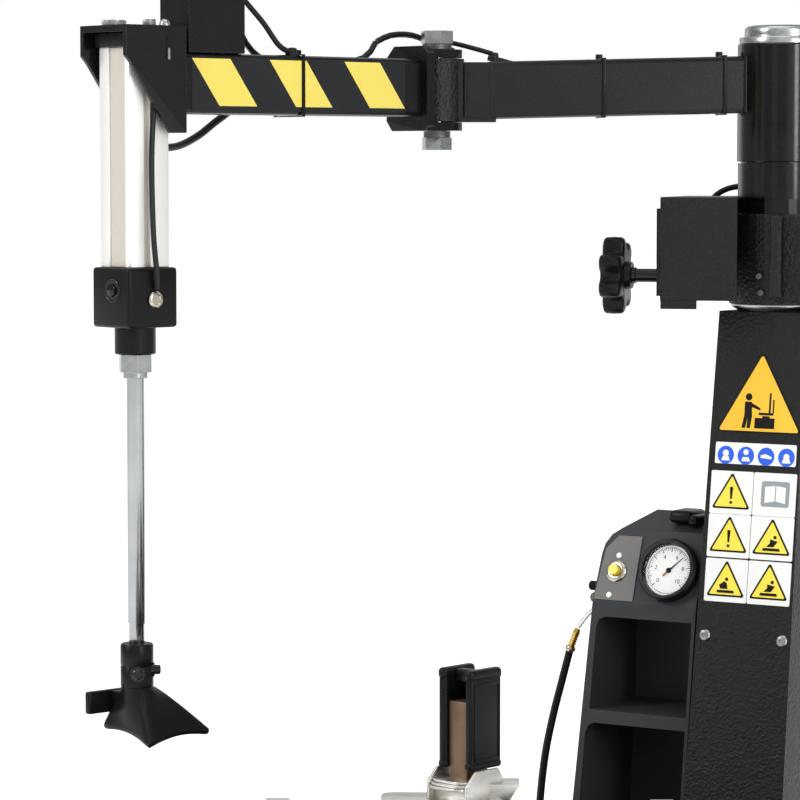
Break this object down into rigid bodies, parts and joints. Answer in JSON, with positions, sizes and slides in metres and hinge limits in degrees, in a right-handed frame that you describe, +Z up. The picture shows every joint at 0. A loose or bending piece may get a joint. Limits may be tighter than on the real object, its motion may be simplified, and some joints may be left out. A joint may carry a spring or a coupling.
{
  "type": "tire changer machine",
  "caption": "Floor-standing swing-arm tire changer with a turntable, clamping jaws, a jointed press arm with a pneumatic cylinder, an inflation gauge unit and a side bead breaker.",
  "frame": {"origin": "on the floor, on the machine's centre line, 300 mm behind the turntable's axis", "axes": "+Z up, -Y towards the operator, +X to the operator's right"},
  "size_m": [1.1549, 1.4295, 1.79],
  "materials": {
    "black_coat": "semi-gloss black powder coat",
    "textured_coat": "fine textured black powder coat",
    "zinc": "zinc-plated steel",
    "chrome": "hard-chromed bar",
    "satin_aluminium": "satin anodised extrusion",
    "black_plastic": "moulded black nylon",
    "grey_plastic": "grained dark grey moulding",
    "light_grey_plastic": "light grey moulding",
    "yellow_plastic": "yellow moulding",
    "rubber": "black rubber",
    "clear_tube": "clear soft tube",
    "brass": "turned brass",
    "plated_steel": "yellow-zinc plated steel",
    "casting": "painted hollow casting",
    "cast_iron": "machined cast iron"
  },
  "bodies": {
    "machine": {"base_plate": "black_coat", "cabinet_shell": "black_coat", "cabinet_lid": "black_coat", "wheel_pad": "rubber", "column": "textured_coat", "post_tube": "black_coat", "post_cap": "zinc", "thrust_washer": "zinc", "gearbox": "casting", "motor": "casting", "drive_belt": "rubber", "bead_cylinder": "casting", "bead_hinge": "black_coat", "pedal_axle": "zinc", "unit_housing": "grey_plastic", "button_panel": "light_grey_plastic", "gauge_case": "black_plastic", "clear_tube": "clear_tube", "hose_barb": "brass", "air_hose": "rubber"},
    "turntable": {"turntable": "plated_steel"},
    "jaw_1": {"jaw_1": "plated_steel"},
    "jaw_2": {"jaw_2": "plated_steel"},
    "jaw_3": {"jaw_3": "plated_steel"},
    "jaw_4": {"jaw_4": "plated_steel"},
    "worm_pulley": {"worm_pulley": "cast_iron"},
    "motor_pulley": {"motor_pulley": "cast_iron"},
    "pedal_turn": {"pedal_turn": "black_coat"},
    "pedal_clamp": {"pedal_clamp": "black_coat"},
    "pedal_bead": {"pedal_bead": "black_coat"},
    "bead_rod": {"bead_rod": "chrome"},
    "bead_arm": {"bead_arm": "black_coat"},
    "push_button": {"push_button": "yellow_plastic"},
    "gauge_needle": {"gauge_needle": "black_plastic"},
    "inner_arm": {"post_sleeve": "black_coat", "inner_arm": "black_coat", "hose_inner": "rubber"},
    "outer_arm": {"outer_arm": "black_coat", "elbow_clevis": "black_coat", "elbow_bolt": "zinc", "press_bracket": "black_coat", "press_barrel": "satin_aluminium", "press_head": "black_plastic", "gland_nut": "zinc", "press_hose": "rubber", "valve_box": "black_coat", "hose_outer": "rubber", "hose_elbow": "rubber"},
    "valve_lever": {"valve_lever": "black_plastic"},
    "press_rod": {"piston_rod": "chrome", "foot_collar": "black_plastic", "press_foot": "black_plastic"},
    "swing_arm": {"swing_hub": "textured_coat", "swing_beam": "textured_coat", "tail_cover": "textured_coat"},
    "star_knob": {"star_knob": "black_plastic"},
    "hex_shaft": {"hex_shaft": "chrome", "mount_head": "plated_steel"},
    "lock_lever": {"lock_lever": "black_plastic"}
  },
  "joints": [
    {"name": "turntable_spin", "type": "hinge", "parent": "machine", "child": "turntable", "pos_m": [0, -0.3, 0.7], "axis": [0, 0, 1], "continuous": true},
    {"name": "jaw_1_slide", "type": "slide", "parent": "turntable", "child": "jaw_1", "axis": [-0.5105, 0.8599, 0], "range_m": [-0.04, 0.05]},
    {"name": "jaw_2_slide", "type": "slide", "parent": "turntable", "child": "jaw_2", "axis": [-0.8599, -0.5105, 0], "range_m": [-0.04, 0.05]},
    {"name": "jaw_3_slide", "type": "slide", "parent": "turntable", "child": "jaw_3", "axis": [0.5105, -0.8599, 0], "range_m": [-0.04, 0.05]},
    {"name": "jaw_4_slide", "type": "slide", "parent": "turntable", "child": "jaw_4", "axis": [0.8599, 0.5105, 0], "range_m": [-0.04, 0.05]},
    {"name": "worm_pulley_spin", "type": "hinge", "parent": "machine", "child": "worm_pulley", "pos_m": [-0.118, -0.36, 0.47], "axis": [1, 0, 0], "continuous": true},
    {"name": "motor_pulley_spin", "type": "hinge", "parent": "machine", "child": "motor_pulley", "pos_m": [-0.118, -0.42, 0.2], "axis": [1, 0, 0], "continuous": true},
    {"name": "pedal_turn_hinge", "type": "hinge", "parent": "machine", "child": "pedal_turn", "pos_m": [-0.18, -0.55, 0.09], "axis": [1, 0, 0], "range_deg": [-10, 10], "stiffness_Nm_per_rad": 60, "springref_deg": -1.6},
    {"name": "pedal_clamp_hinge", "type": "hinge", "parent": "machine", "child": "pedal_clamp", "pos_m": [-0.07, -0.55, 0.09], "axis": [1, 0, 0], "range_deg": [0, 11], "stiffness_Nm_per_rad": 25, "springref_deg": -8.59},
    {"name": "pedal_bead_hinge", "type": "hinge", "parent": "machine", "child": "pedal_bead", "pos_m": [0.04, -0.55, 0.09], "axis": [1, 0, 0], "range_deg": [0, 11], "stiffness_Nm_per_rad": 25, "springref_deg": -8.59},
    {"name": "bead_arm_hinge", "type": "hinge", "parent": "machine", "child": "bead_arm", "pos_m": [0.402, 0.285, 0.28], "axis": [0, 0, 1], "range_deg": [0, 30]},
    {"name": "bead_rod_slide", "type": "slide", "parent": "machine", "child": "bead_rod", "axis": [1, 0, 0], "range_m": [0, 0.097]},
    {"name": "push_button_travel", "type": "slide", "parent": "machine", "child": "push_button", "axis": [0, 0.9455, -0.3256], "range_m": [0, 0.0024], "stiffness_N_per_m": 300, "springref_m": -0.002},
    {"name": "gauge_needle_turn", "type": "hinge", "parent": "machine", "child": "gauge_needle", "pos_m": [-0.111, 0.37762, 0.9346], "axis": [0, -0.9455, 0.3256], "range_deg": [-90, 180]},
    {"name": "inner_arm_hinge", "type": "hinge", "parent": "machine", "child": "inner_arm", "pos_m": [0, 0.458, 1.5], "axis": [0, 0, 1], "range_deg": [-60, 30]},
    {"name": "elbow_hinge", "type": "hinge", "parent": "inner_arm", "child": "outer_arm", "pos_m": [-0.343, 0.195, 1.53], "axis": [0, 0, 1], "range_deg": [-70, 36], "deforming": ["hose_elbow"]},
    {"name": "press_rod_slide", "type": "slide", "parent": "outer_arm", "child": "press_rod", "axis": [0, 0, 1], "range_m": [0, 0.2]},
    {"name": "valve_lever_tilt", "type": "hinge", "parent": "outer_arm", "child": "valve_lever", "pos_m": [-0.42118, -0.16171, 1.7], "axis": [0.2812, 0.9596, 0], "range_deg": [-12, 12], "stiffness_Nm_per_rad": 1.5},
    {"name": "swing_arm_hinge", "type": "hinge", "parent": "machine", "child": "swing_arm", "pos_m": [0, 0.458, 1.3], "axis": [0, 0, 1], "range_deg": [-106.5, 0]},
    {"name": "star_knob_turn", "type": "hinge", "parent": "swing_arm", "child": "star_knob", "pos_m": [-0.13099, 0.38791, 1.304], "axis": [0.9588, 0.284, 0], "continuous": true},
    {"name": "hex_shaft_slide", "type": "slide", "parent": "swing_arm", "child": "hex_shaft", "axis": [0, 0, 1], "range_m": [-0.17, 0.04]},
    {"name": "lock_lever_turn", "type": "hinge", "parent": "swing_arm", "child": "lock_lever", "pos_m": [0.53694, 0.61705, 1.3], "axis": [0, 0, 1], "range_deg": [0, 60]}
  ],
  "couplings": [
    {"joint": "jaw_2_slide", "follows": "jaw_1_slide", "ratio": 1},
    {"joint": "jaw_3_slide", "follows": "jaw_1_slide", "ratio": 1},
    {"joint": "jaw_4_slide", "follows": "jaw_1_slide", "ratio": 1},
    {"joint": "worm_pulley_spin", "follows": "turntable_spin", "ratio": 40},
    {"joint": "motor_pulley_spin", "follows": "turntable_spin", "ratio": 100},
    {"joint": "bead_rod_slide", "follows": "bead_arm_hinge", "m_per_rad": 0.185}
  ]
}
